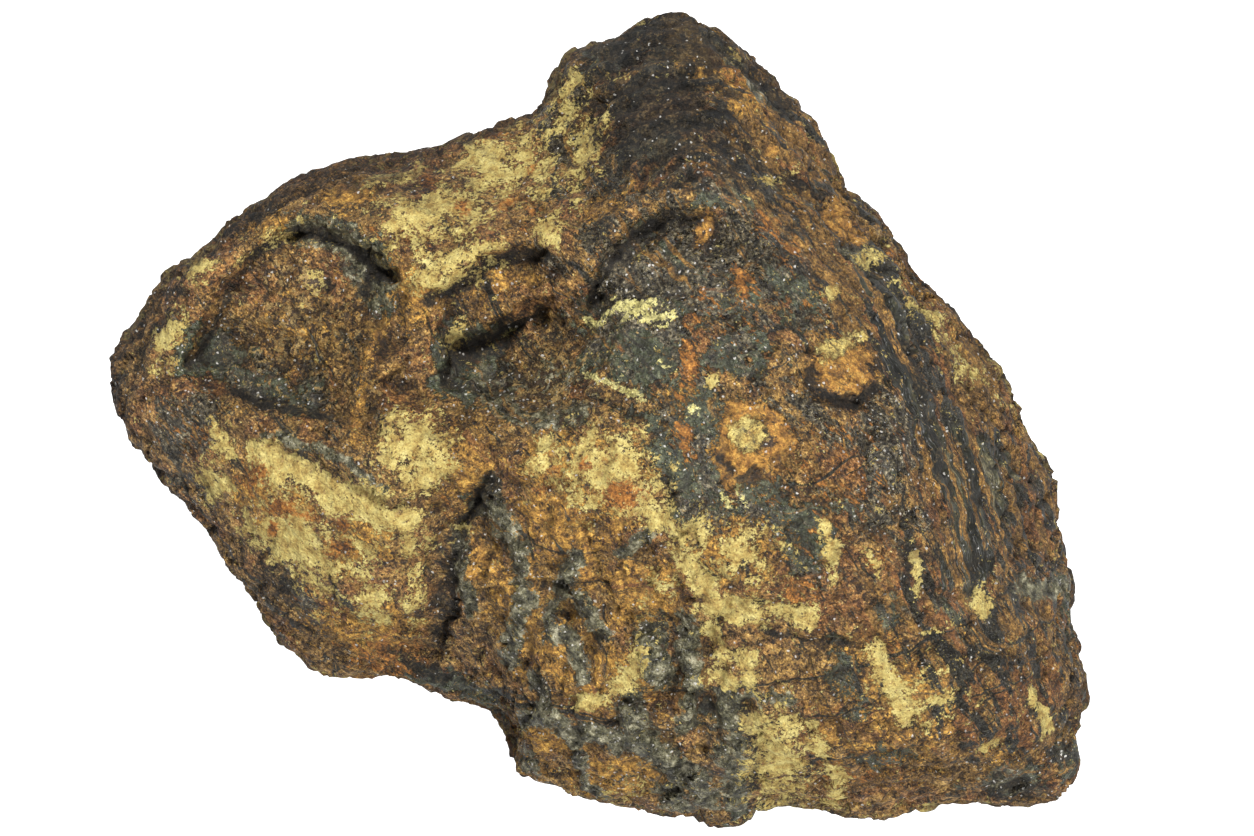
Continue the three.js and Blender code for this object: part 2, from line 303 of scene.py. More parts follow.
place[:, 2] += relief * upward
write_places(stone_mesh, place)
facing = read_points(stone_mesh, "normal")


def region(x, y, across, along, turn=0.0, fade=0.5):
    """1 inside a tilted oval seen from above, fading to 0 outside it."""
    cosine, sine = math.cos(math.radians(turn)), math.sin(math.radians(turn))
    from_x, from_y = place[:, 0] - x, place[:, 1] - y
    lengthways = (from_x * cosine + from_y * sine) / along
    sideways = (from_y * cosine - from_x * sine) / across
    return smooth_step(1 + fade, 1 - fade, np.hypot(lengthways, sideways))


# Bands left by the metal's flow: round the peak, and down the right-hand flank.
peak_bands = region(5, 27, 7, 9) * upward
RINGS_X, RINGS_Y = 8.5, 20.5
from_x, from_y = place[:, 0] - RINGS_X, place[:, 1] - RINGS_Y
ring = np.hypot(from_x, from_y * 1.1) + 0.8 * rough(place, 4, 3, 5.0)
ring_turn = np.arctan2(from_y, from_x)
flow_across, flow_share = line_over([
    (11, 31), (14, 26), (20, 20), (26, 12.4), (31, 3), (34, -6), (37, -17),
])
flow_along = flow_share * 60  # about the length of the path
ALONG_FLOW = 0.14  # streaks are seven times longer than broad
flow_places = np.stack([flow_across, flow_along * ALONG_FLOW, place[:, 2] * 0.3], axis=1)
flank = smooth_step(-7.5, -3.5, flow_across) * ends_fade(flow_share, 0.12) * upward
lower_bands = region(34, -20, 9, 13, -60) * upward
down_right = -math.radians(60)
drawn_x = (place[:, 0] * math.cos(down_right) + place[:, 1] * math.sin(down_right)) * ALONG_FLOW
drawn_y = -place[:, 0] * math.sin(down_right) + place[:, 1] * math.cos(down_right)
lower_places = np.stack([drawn_x, drawn_y, place[:, 2] * 0.3], axis=1)
bands = 0.3 * peak_bands * np.sin(ring * 3.6)
bands += 0.42 * flank * rough(flow_places, 1.3, 3, 3.0)
bands += 0.30 * lower_bands * rough(lower_places, 1.5, 3, 9.0)

# The crust: soft lumps, then knobbly grains, calmer where clay fills the hollows.
lobe = region(-1, -22, 14, 13)
smooth_parts = [region(-12, 21, 5, 11, 20), region(-25, -9, 6, 11, -30), region(6, 3, 5, 9, 60), flank]
calm = np.maximum.reduce(smooth_parts)
knobbly = (1 + 0.3 * lobe) * (1 - 0.55 * calm)
beneath = smooth_step(0.1, -0.3, facing[:, 2])  # 1 on the underside
rim = smooth_step(0.75, 0.3, np.abs(facing[:, 2]))  # 1 on the steep skin along the outline
inside = knobbly * (1 - 0.75 * rim)
bent = [wander_x - place[:, 0], wander_y - place[:, 1], wander_x - wander_y]
chips = place + 0.5 * np.stack(bent, axis=1)
push = bands
push += 0.34 * rough(place, 4.2, 3, 1.0) * (1 - 0.5 * rim)
push += 0.22 * rough(place, 1.3, 4, 21.0) * inside
push += chipped(chips, 3.0, 0.45, 0.2) * inside
notches = np.exp(-((rough(place, 3.6, 2, 91.0) / 0.11) ** 2))
notches += 0.6 * np.exp(-((rough(place, 1.9, 2, 95.0) / 0.12) ** 2))
edge = 0.17 + 0.4 * rough(place, 4.4, 2, 93.0)
edge -= 0.6 * notches
edge += 0.16 * rough(place, 1.0, 2, 97.0)
push += rim * edge
hairlines = np.exp(-((rough(place, 5.5, 3, 51.0) / 0.07) ** 2))
hairlines *= smooth_step(-0.2, 0.3, rough(place, 6, 2, 57.0))
push -= 0.12 * (1 - lobe) * hairlines * inside

# Where the outline swells and where it has been broken back.
for x, y, amount in (
    (-29, -18.8, 0.6), (-15.4, -24.3, 0.5), (-0.4, 34, 0.5), (9.2, 36, 0.3), (37, 3, 0.35),
    (43, -32.8, 0.7), (-33, 18.6, 0.4), (12.4, -37, 0.4), (16, 31.6, -0.7), (21.6, 22.8, -0.35),
    (30.2, 12.4, -0.65), (40.2, -2.8, -0.5), (-5, 30, -0.6), (-19, 24.4, -0.3), (-36.4, 16.4, -0.3),
    (-35.6, -11.4, -0.4), (-9, -28.8, -0.5), (44, -20, -0.4), (15.8, -35.6, -0.4), (33.4, -35, -0.3),
):
    push += rim * amount * region(x, y, 2.6, 2.6)
push += beneath * (0.9 * rough(place, 7.0, 3, 71.0) + 0.3 * rough(place, 2.0, 3, 81.0))
place += facing * push[:, None]
place[:, 2] = np.maximum(place[:, 2], 0)
write_places(stone_mesh, place)
facing = read_points(stone_mesh, "normal")
stone_mesh.polygons.foreach_set("use_smooth", [True] * len(stone_mesh.polygons))


# ---------------------------------------------------------------- the rust crust
# Brown iron oxide in grains of a quarter to half a millimetre, over the whole
# stone. Its grains run at random from near black to golden brown; the hollows
# are darkened further down with painted shade.
# Every coating after it is laid over the ones before, in the order they formed.


def put(tree, kind, sockets, **settings):
    """A shader node with its settings made, and each of its sockets set or linked."""
    made = tree.nodes.new(kind)
    for name, value in settings.items():
        setattr(made, name, value)
    for name, value in sockets.items():
        if isinstance(value, bpy.types.NodeSocket):
            tree.links.new(value, made.inputs[name])
        else:
            made.inputs[name].default_value = value
    return made


def arithmetic(tree, operation, first, second):
    return put(tree, "ShaderNodeMath", {0: first, 1: second}, operation=operation).outputs[0]


finish = bpy.data.materials.new("weathered_iron")
finish.use_nodes = True
tree = finish.node_tree
tree.nodes.clear()
iron = put(tree, "ShaderNodeBsdfPrincipled", {"Metallic": 0.0, "IOR": 1.5, "Specular IOR Level": 0.42})
put(tree, "ShaderNodeOutputMaterial", {"Surface": iron.outputs[0]})
object_place = put(tree, "ShaderNodeTexCoord", {}).outputs["Object"]
plan_place = put(tree, "ShaderNodeMapping", {"Vector": object_place, "Scale": (1 / mm,) * 3}).outputs[0]


def plus(first, second):
    return arithmetic(tree, "ADD", first, second)


def times(first, second):
    return arithmetic(tree, "MULTIPLY", first, second)


def less(first, second):
    return arithmetic(tree, "SUBTRACT", first, second)


def smaller(first, second):
    return arithmetic(tree, "MINIMUM", first, second)


def blend_values(share, below, above):
    return put(tree, "ShaderNodeMix", {0: share, 2: below, 3: above}, data_type="FLOAT").outputs[0]


def blend_colours(share, below, above, way="MIX"):
    sockets = {0: share, 6: below, 7: above}
    return put(tree, "ShaderNodeMix", sockets, data_type="RGBA", blend_type=way).outputs[2]


def pigment(red, green, blue):
    """A colour as the eye sees it, 0 to 255, as the linear light that a shader takes."""
    shades = (red / 255, green / 255, blue / 255)
    light = (shade / 12.92 if shade <= 0.04045 else ((shade + 0.055) / 1.055) ** 2.4 for shade in shades)
    return (*light, 1.0)


def ramp(value, *stops):
    """Colours along a value: each stop is its place from 0 to 1 and its colour."""
    made = put(tree, "ShaderNodeValToRGB", {0: value})
    for number, (where, colour) in enumerate(stops):
        stop = made.color_ramp.elements[number] if number < 2 else made.color_ramp.elements.new(where)
        stop.position = where
        stop.color = colour
    return made.outputs[0]


def mottle(size, detail=3.0, roughness=0.6, where=plan_place, shift=0.0):
    placed = put(tree, "ShaderNodeMapping", {"Vector": where, "Location": (shift,) * 3}).outputs[0]
    sockets = {"Vector": placed, "Scale": 1 / size, "Detail": detail, "Roughness": roughness}
    return put(tree, "ShaderNodeTexNoise", sockets).outputs[0]


def contrast(value, start, end):
    sockets = {"Value": value, "From Min": start, "From Max": end}
    return put(tree, "ShaderNodeMapRange", sockets, interpolation_type="SMOOTHSTEP").outputs[0]


surface = {}


def lay_on(mask, colour, roughness, relief=None):
    """Lays a coating over what is there: its colour, its roughness, and its own relief if it has one."""
    surface["colour"] = blend_colours(mask, surface["colour"], colour)
    surface["roughness"] = blend_values(mask, surface["roughness"], roughness)
    if relief is not None:
        surface["relief"] = blend_values(mask, surface["relief"], relief)


fine_grains = mottle(0.32, 3.0, 0.7)
clumps = mottle(2.2, 5.0, 0.7, shift=5.0)


def crystals(size, bend):
    """Angular grains: a tone for each, from 0 to 1, and the distance from its middle."""
    sockets = {"Vector": plan_place, "Scale": 1 / size, "Detail": 2.0}
    unsteady = put(tree, "ShaderNodeTexNoise", sockets).outputs["Color"]
    sockets = {0: unsteady, 1: (bend,) * 3, 2: plan_place}
    shifted = put(tree, "ShaderNodeVectorMath", sockets, operation="MULTIPLY_ADD").outputs[0]
    sockets = {"Vector": shifted, "Scale": 1 / size, "Randomness": 1.0}
    cells = put(tree, "ShaderNodeTexVoronoi", sockets).outputs
    return put(tree, "ShaderNodeSeparateColor", {0: cells["Color"]}).outputs[0], cells["Distance"]


small_tone, small_middle = crystals(0.3, 0.5)
large_tone, _ = crystals(0.75, 0.9)
tones = plus(times(small_tone, 0.6), times(large_tone, 0.4))
grains = plus(times(fine_grains, 0.45), times(clumps, 0.33))
grains = plus(grains, times(tones, 0.22))
tints = mottle(5.5, 4.0, 0.65, shift=13.0)
brown_grains = ramp(grains,
    (0.37, pigment(26, 19, 11)), (0.44, pigment(66, 47, 26)), (0.5, pigment(112, 85, 47)),
    (0.57, pigment(154, 120, 64)), (0.66, pigment(202, 166, 98)),
)
red_grains = ramp(grains,
    (0.37, pigment(27, 17, 11)), (0.45, pigment(76, 48, 26)), (0.52, pigment(118, 79, 43)),
    (0.64, pigment(176, 128, 74)),
)
surface["colour"] = blend_colours(contrast(tints, 0.44, 0.64), brown_grains, red_grains)
surface["roughness"] = contrast(grains, 1.15, 0.0)
standing = plus(times(tones, 0.3), times(less(1.0, small_middle), 0.5))


def drawn_out(turn, stretch=0.12):
    """Places stretched along a direction over the stone, in degrees from its long side."""
    sockets = {"Vector": plan_place, "Rotation": (0, 0, math.radians(-turn))}
    turned = put(tree, "ShaderNodeMapping", sockets).outputs[0]
    return put(tree, "ShaderNodeMapping", {"Vector": turned, "Scale": (stretch, 1.0, 0.5)}).outputs[0]


flaky_places = drawn_out(-42, 0.38)


def creased(size, where, shift):
    """Rounded lumps with sharp creases between them: 0 in the creases."""
    wave = less(mottle(size, 4.0, 0.62, where, shift), 0.5)
    height = put(tree, "ShaderNodeMath", {0: wave}, operation="ABSOLUTE").outputs[0]
    return times(height, 3.0)


small_creases = plus(creased(1.1, plan_place, 143.0), 0.07)
creases = smaller(creased(1.7, flaky_places, 147.0), small_creases)
breaks = times(mottle(1.5, 4.0, 0.62, shift=141.0), 1.5)
surface["relief"] = plus(plus(blend_values(0.45, fine_grains, standing), breaks), creases)

pale_flecks = contrast(mottle(0.42, 2.0, 0.7, shift=121.0), 0.61, 0.69)
lay_on(times(pale_flecks, 0.55), pigment(196, 164, 104), 0.85)


# ---------------------------------------------------------------- dark oxide
# Smooth grey-black magnetite with a dull shine, bared where the crust has
# flaked off: most of the dome, the scoop floors, the peak and the knobs.


def keep_on_stone(name, values):
    """Stores a value for each point of the skin, for the finish to read."""
    layer = stone_mesh.attributes.new(name, "FLOAT", "POINT")
    layer.data.foreach_set("value", values.astype(np.float32))


def spot(x, y, across, up, turn=0.0):
    """A patch's strength: 1 in its middle, a half at its edge, by its full width and height."""
    cosine, sine = math.cos(math.radians(turn)), math.sin(math.radians(turn))
    from_x, from_y = wander_x - x, wander_y - y
    sideways = (from_x * cosine + from_y * sine) / (across / 2)
    upwards = (from_y * cosine - from_x * sine) / (up / 2)
    return np.clip(1 - 0.5 * np.hypot(sideways, upwards), 0, 1)


def stroke(path, width):
    """The same for a streak of that full width along a path."""
    away, _ = line_over(path)
    return np.clip(1 - np.abs(away) / width, 0, 1)


def strongest(*fields):
    return np.maximum.reduce(fields) * upward


def scattered(size, share, shift):
    """Patches of no particular plan over the sides and the underside."""
    return (1 - upward) * np.clip(share + 0.55 * rough(place, size, 3, shift), 0, 1)


def ragged_edge_group():
    """Breaks a soft field up into a patch with a ragged, speckled edge."""
    group = bpy.data.node_groups.new("ragged_edge", "ShaderNodeTree")
    group.interface.new_socket("Place", in_out="INPUT", socket_type="NodeSocketVector")
    for label in ("Field", "Size", "Ragged", "Speckle", "Softness", "Seed"):
        group.interface.new_socket(label, in_out="INPUT", socket_type="NodeSocketFloat")
    group.interface.new_socket("Mask", in_out="OUTPUT", socket_type="NodeSocketFloat")
    given = group.nodes.new("NodeGroupInput").outputs
    out = group.nodes.new("NodeGroupOutput")
    shifted = put(group, "ShaderNodeVectorMath", {0: given["Place"], 1: given["Seed"]}, operation="ADD")
    uneven = given["Field"]
    for scale, roughness, strength in (
        (arithmetic(group, "DIVIDE", 1.0, given["Size"]), 0.6, given["Ragged"]),
        (1 / 0.36, 0.8, given["Speckle"]),
    ):
        sockets = {"Vector": shifted.outputs[0], "Scale": scale, "Detail": 3.0, "Roughness": roughness}
        cells = put(group, "ShaderNodeTexNoise", sockets).outputs[0]
        shift = arithmetic(group, "MULTIPLY", arithmetic(group, "SUBTRACT", cells, 0.5), strength)
        uneven = arithmetic(group, "ADD", uneven, shift)
    sockets = {
        "Value": uneven,
        "From Min": arithmetic(group, "SUBTRACT", 0.5, given["Softness"]),
        "From Max": arithmetic(group, "ADD", 0.5, given["Softness"]),
    }
    mask = put(group, "ShaderNodeMapRange", sockets, interpolation_type="SMOOTHSTEP")
    group.links.new(mask.outputs[0], out.inputs["Mask"])
    return group


ragged_edge = ragged_edge_group()


def stored(name):
    return put(tree, "ShaderNodeAttribute", {}, attribute_name=name).outputs["Fac"]


def patch(field, size, ragged, speckle, seed, softness=0.06, where=plan_place):
    """The mask of a coating whose edge wanders at one size and breaks into specks."""
    sockets = {"Place": where, "Field": field, "Size": size, "Ragged": ragged, "Speckle": speckle}
    sockets |= {"Softness": softness, "Seed": seed}
    return put(tree, "ShaderNodeGroup", sockets, node_tree=ragged_edge).outputs["Mask"]


keep_on_stone("slate", scattered(7, 0.34, 201.0) + strongest(
    spot(3.5, 7, 11, 9, -20), spot(7.5, -4, 5, 11, 10), spot(14, -7.5, 5, 3, 0),
    spot(9, 12.6, 14, 7, -15) * 0.95, spot(12, 5.6, 8, 5, 20) * 0.85, spot(18, 12, 7, 7) * 0.85,
    spot(12, 19.6, 8, 3, -20) * 0.9, spot(4, 13, 8, 8) * 0.9, spot(-11.6, 5.2, 5.4, 6.4, -20) * 1.2,
    spot(-34.4, 6, 7, 4.4, -30), spot(-29.4, 3, 9, 2.8, -14) * 0.95, spot(-36.4, 4.6, 3, 2.4),
    spot(-26.8, 2, 5, 3), spot(-20, 14, 4, 5, 40), spot(-19.2, 11, 3, 4),
    spot(-24, 17, 8, 2.4, -20) * 0.9, spot(5.4, 28, 10, 12) * 0.95, spot(12.6, 33, 9, 3.4, -50),
    spot(1, 34, 6, 5) * 0.9, spot(14.5, 22, 7, 4, -35), spot(3, 21.5, 10, 3) * 0.7,
    spot(32, -17, 8, 7) * 0.85, spot(18, -11.6, 3.4, 4.4) * 0.9, spot(26, -17, 4, 3),
    spot(22, -23, 3, 6, 25), spot(38, -15.5, 9, 3, 5) * 0.9, spot(20, -8, 7, 4) * 0.7,
    spot(25.5, -3.5, 6, 8) * 0.7, spot(-10.6, -7.6, 2.4, 2), spot(12.4, -31, 2.4, 13, 4) * 0.8,
    spot(11, -26, 3, 3) * 0.8, spot(37.6, -32.6, 7, 3) * 0.9, spot(42.6, -31, 3, 4),
    spot(42.8, -18, 2, 6), stroke([(14, -5), (15, -8), (20, -10.6)], 2.6),
    stroke([(8, 2.4), (10, -2), (9.6, -7.6)], 3.8) * 1.15, spot(-20.5, -20.6, 2, 1.2, 30),
    spot(33, -27, 3, 2) * 0.8, spot(26, -30, 7, 2, 10) * 0.75,
    stroke([(-17, -23.4), (-13, -24), (-10, -25.8)], 2.6),
))
slate_mask = patch(stored("slate"), 2.4, 1.8, 0.6, 3.1, 0.05)
slate_tint = ramp(
    mottle(0.5, 4.0, 0.7, shift=31.0), (0.34, pigment(20, 22, 15)), (0.5, pigment(52, 56, 41)),
    (0.62, pigment(86, 89, 68)), (0.76, pigment(134, 134, 110)),
)
slate_sheen = contrast(mottle(0.8, 3.0, shift=41.0), 0.1, 1.1)
lay_on(slate_mask, slate_tint, slate_sheen, plus(times(breaks, 0.6), times(fine_grains, 0.5)))

keep_on_stone("grey_grains", strongest(
    spot(6, 12, 18, 15, -20) * 0.86, spot(12, -4, 18, 14, -30) * 0.6, spot(26, -3, 9, 14, 14) * 0.9,
    spot(5, 27, 18, 14), spot(33, -19, 16, 12) * 0.6, spot(-27, 4, 12, 8) * 0.6,
    spot(-6, 3, 12, 6) * 0.5, spot(12, 16, 22, 8, -20) * 0.85, spot(-38, -1, 10, 20, -30) * 0.58,
    spot(-29, -17, 7, 8, 40) * 0.6, spot(22, 10, 8, 8) * 0.75, spot(19, 0, 10, 8) * 0.6,
))
grey_tint = ramp(
    mottle(0.4, 3.0, 0.7, shift=35.0), (0.36, pigment(12, 11, 8)), (0.46, pigment(40, 36, 27)),
    (0.56, pigment(84, 77, 60)), (0.68, pigment(146, 136, 112)),
)
grey_sheen = contrast(mottle(0.7, 3.0, shift=43.0), 0.2, 0.95)
lay_on(patch(stored("grey_grains"), 2.2, 2.3, 1.2, 5.3, 0.06, flaky_places), grey_tint, grey_sheen)


# ---------------------------------------------------------------- orange and golden rust
# Fresher rust in thin powdery patches: orange between the dark plates of the
# dome, golden on the lower slopes and round the clay.

golden_band = stroke([(8.6, 34.6), (12.6, 30), (16.6, 26), (22, 21.6)], 4.4)
keep_on_stone("gold", scattered(6, 0.30, 211.0) + strongest(
    spot(-16.5, 11.5, 4, 6, 20), spot(-22.5, 20.5, 6, 3),
    stroke([(-19, 9), (-20.4, 6.6), (-21, 3), (-21.4, 0), (-22.8, -3)], 1.3) * 0.72,
    spot(-31, -6, 4, 6), spot(-28, -8, 6, 5) * 0.9, spot(-22, -11, 8, 5) * 0.8,
    spot(-22, -18.4, 12, 5) * 0.6, golden_band * 1.25,
    spot(18, 20, 6, 3, -20) * 0.8, spot(12, -12, 8, 7) * 0.8, spot(28, -25, 12, 12) * 0.8,
    spot(-3, -9, 12, 7) * 0.9, spot(4, -15, 7, 7) * 0.95, spot(2, -32, 9, 4) * 0.9,
    spot(1, -23, 10, 6) * 1.0, spot(-7, -17, 6, 8) * 0.9, spot(-3, -20, 8, 6) * 0.9,
    spot(-4, -28, 8, 6) * 0.85, spot(-20, -19, 7, 5) * 0.95, spot(-1.6, -13, 6, 5) * 0.85,
    spot(-6, -31.6, 4, 2) * 0.8, spot(4.4, -23.6, 5, 4) * 0.8, spot(-10, -13, 4, 7) * 0.8,
    spot(-6, -22, 8, 6) * 0.6, spot(-5, -29.6, 7, 4) * 0.7, spot(33, 5.6, 4.4, 14, 38) * 0.95,
    spot(-4, -4.2, 5, 5) * 1.3, spot(-12, -4.6, 9, 6) * 0.75, spot(37, -6, 6, 9, 30) * 0.65,
    spot(21.5, 4.5, 5.4, 5.4) * 1.0, spot(13.5, -2.4, 5.6, 5.4), spot(21.6, 18, 2.6, 4.4),
    spot(23.4, 16, 2.4, 3.4), spot(9.5, 17, 1.4, 2.8), spot(-9, 12, 7, 3, 25) * 0.8,
    spot(-27, 8, 9, 9) * 0.55, spot(-30, 17.6, 5, 2, 25) * 0.8, spot(7, 1.5, 3, 3) * 0.6,
    spot(2, 20, 9, 3, 30) * 0.55, spot(10, 31.5, 2, 5, 40) * 0.9, spot(-1, -4.6, 9, 6) * 1.0,
    spot(4, -33, 6, 3) * 0.55, spot(-14, -1.4, 18, 4) * 0.5, spot(36, -29, 8, 5) * 0.65,
    spot(20.6, -29, 3, 9, 20) * 0.7,
))
gold_tint = ramp(
    mottle(0.6, 4.0, 0.7, shift=53.0), (0.34, pigment(70, 46, 19)), (0.48, pigment(138, 101, 45)),
    (0.6, pigment(182, 140, 64)), (0.74, pigment(212, 176, 96)),
)
lay_on(patch(stored("gold"), 1.5, 1.5, 1.8, 7.7, 0.08), gold_tint, 0.82, grains)

keep_on_stone("orange", scattered(5, 0.20, 221.0) + strongest(
    spot(15.5, 17.5, 3, 2.4), spot(18, 17.2, 2.4, 3), spot(17, 15, 2.4, 2.4),
    spot(13, 12, 2, 3.4, 20), spot(8, 5, 1.6, 5, -12), spot(7.4, -1.6, 1.6, 4, 15) * 0.9,
    spot(17.5, -15.4, 3, 1.8, -30), spot(11.4, 31.8, 1.2, 4, 40), spot(20, -5, 12, 14) * 0.42,
    spot(22, 11, 8, 6) * 0.45, spot(10, 9, 8, 6) * 0.4, spot(25, -20, 14, 3, -20) * 0.5,
    spot(22, -32, 12, 4) * 0.55, spot(38, -22, 6, 8) * 0.5, spot(28, 14, 8, 2.4, -50) * 0.6,
    spot(6, 29, 5, 3) * 0.6, spot(-31, -5, 2.4, 2), spot(-16, 16.6, 8, 4) * 0.5,
    spot(-6, 19, 5, 4) * 0.5, spot(2.2, -6.6, 2.6, 2.6) * 1.0, spot(-19, -21.4, 7, 3) * 0.85,
    spot(-20.2, -22.8, 1.4, 1.1) * 1.4, spot(-26, -15.6, 3, 2) * 0.6,
    spot(-16, 25, 5, 1.2, 15) * 0.9, spot(-36, -1, 5, 3) * 0.5, spot(28, -13, 6, 4) * 0.45,
    spot(22, 2.6, 4, 2.6) * 0.9, spot(14.6, -3.4, 3, 3) * 0.85, spot(2, -3, 3, 2) * 0.7,
    spot(-13, -8.6, 2, 3) * 0.5,
))
orange_tint = ramp(
    mottle(0.45, 4.0, 0.7, shift=61.0), (0.36, pigment(70, 43, 20)), (0.48, pigment(132, 86, 38)),
    (0.6, pigment(168, 114, 50)), (0.74, pigment(196, 150, 82)),
)
orange_mask = patch(times(stored("orange"), 0.92), 0.9, 1.7, 1.8, 11.3, 0.09, flaky_places)
lay_on(orange_mask, orange_tint, 0.85, grains)


# ---------------------------------------------------------------- flow bands
# Where the metal flowed, its layers are drawn out into thin dark and rusty
# streaks: down the right-hand flank, over the lower right part, and in rings
# round the peak, which a golden band crosses.

keep_on_stone("flank_bands", flank)
keep_on_stone("lower_bands", lower_bands)
keep_on_stone("flow_across", flow_across)
keep_on_stone("flow_along", flow_along * 0.09)
keep_on_stone("peak_bands", peak_bands * (1 - golden_band))
keep_on_stone("ring", ring)
keep_on_stone("ring_turn", ring_turn * 0.9)

dark_streak = ramp(grains, (0.4, pigment(14, 14, 11)), (0.62, pigment(56, 53, 42)))
olive_streak = ramp(
    grains, (0.38, pigment(60, 42, 20)), (0.5, pigment(110, 80, 38)), (0.64, pigment(164, 126, 64)),
)
flank_places = put(
    tree, "ShaderNodeCombineXYZ", {0: stored("flow_across"), 1: stored("flow_along")},
).outputs[0]
lower_streaks = drawn_out(-60)
rust_streak = ramp(
    grains, (0.38, pigment(60, 37, 19)), (0.5, pigment(114, 74, 38)), (0.64, pigment(162, 116, 62)),
)
flank_field = stored("flank_bands")
lower_field = stored("lower_bands")
peak_places = put(tree, "ShaderNodeCombineXYZ", {0: stored("ring"), 1: stored("ring_turn")}).outputs[0]
for places, field, full, seed in (
    (flank_places, flank_field, 0.54, 17.0),
    (lower_streaks, lower_field, 0.47, 31.0),
    (peak_places, stored("peak_bands"), 0.5, 47.0),
):
    lay_on(patch(times(field, full), 1.8, 2.4, 0.8, seed, 0.1, places), olive_streak, 0.7)
    lay_on(patch(times(field, full - 0.06), 2.0, 2.4, 0.8, seed + 3, 0.1, places), rust_streak, 0.7)
    lay_on(patch(times(field, full - 0.04), 1.3, 2.8, 0.8, seed + 7, 0.08, places), dark_streak, 0.4)


# ---------------------------------------------------------------- bare iron ridges
# Dark iron bared along the ridges of the lobe and in a long band down the
# flank, worn to a wet-looking shine and scored along its length.

keep_on_stone("bare_iron", strongest(
    *(stroke(path, 0.4 + 1.0 * width) for path, width, _ in lobe_ridges), spot(-10.6, -7.6, 2.4, 2),
    stroke([(11.6, -24.4), (12.2, -30), (12.6, -37)], 3.4) * 0.8,
    stroke([(11, -24), (17, -25)], 1.6) * 0.8, stroke([(18, 20.6), (22, 16), (24.6, 12.6)], 1.4) * 0.85,
    stroke([(-10.4, 3.6), (-8.6, 1.2), (-5.4, -0.2), (-1.6, 0.6)], 1.9) * 1.1,
    spot(-4, 4, 5, 4) * 0.75, spot(37.6, -33, 5, 3) * 0.9, stroke([(38, -15), (43, -15.4)], 2) * 0.9,
    stroke([(-30, -1.2), (-24, -3), (-19, -6)], 1.0) * 0.8, spot(-8.4, 2.2, 4, 2.4, 20) * 0.8,
    spot(-20.4, 12.6, 3.4, 5, 40), stroke([(-27, 17.2), (-23.6, 16.4), (-20.4, 14)], 3),
    stroke([(10, 35), (13, 32), (16, 28.6)], 1.6) * 0.9, spot(5, 24.4, 5, 2.4, 20) * 0.8,
))
iron_mask = patch(stored("bare_iron"), 1.1, 1.1, 0.8, 131.0, 0.06)
iron_tint = ramp(
    mottle(1.0, 4.0, 0.66, shift=135.0), (0.36, pigment(34, 33, 24)), (0.47, pigment(74, 72, 54)),
    (0.55, pigment(108, 105, 82)), (0.66, pigment(162, 157, 132)),
)
lay_on(iron_mask, iron_tint, contrast(mottle(0.6, 3.0, shift=133.0), 0.1, 1.1))

keep_on_stone("flank_iron", strongest(
    stroke([(25.6, 8), (27, 4), (29, 1), (31.2, -4), (33, -9), (33.6, -13)], 3.6) * 1.1,
    stroke([(24.6, 12.4), (26.6, 9), (27.4, 5)], 2.4) * 0.85,
    stroke([(34.6, -2), (36.2, -8), (36.4, -12)], 1.4) * 0.9, stroke([(36, -1.6), (37.6, -5)], 1.2),
    stroke([(38, 1), (41, -6), (42, -11)], 1.2) * 0.8,
    stroke([(21, 22.4), (25, 16), (28.6, 12.6)], 1.2) * 0.8,
))
scored = mottle(0.9, 4.0, 0.7, flank_places, 151.0)
scored_tint = ramp(
    scored, (0.36, pigment(8, 8, 6)), (0.5, pigment(26, 27, 20)), (0.6, pigment(56, 56, 42)),
    (0.72, pigment(118, 110, 82)),
)
flank_iron = patch(stored("flank_iron"), 1.4, 2.4, 0.9, 153.0, 0.07, flank_places)
lay_on(flank_iron, scored_tint, 0.42, times(scored, 1.6))
fine_streaks = patch(times(flank_field, 0.34), 1.2, 3.0, 0.8, 157.0, 0.06, flank_places)
lay_on(fine_streaks, olive_streak, 0.7)


# ---------------------------------------------------------------- clay
# Dry khaki clay from the ground that the stone lay in. It fills the hollows
# and the lee of the crests, thin at its edges and pricked with dark grains.

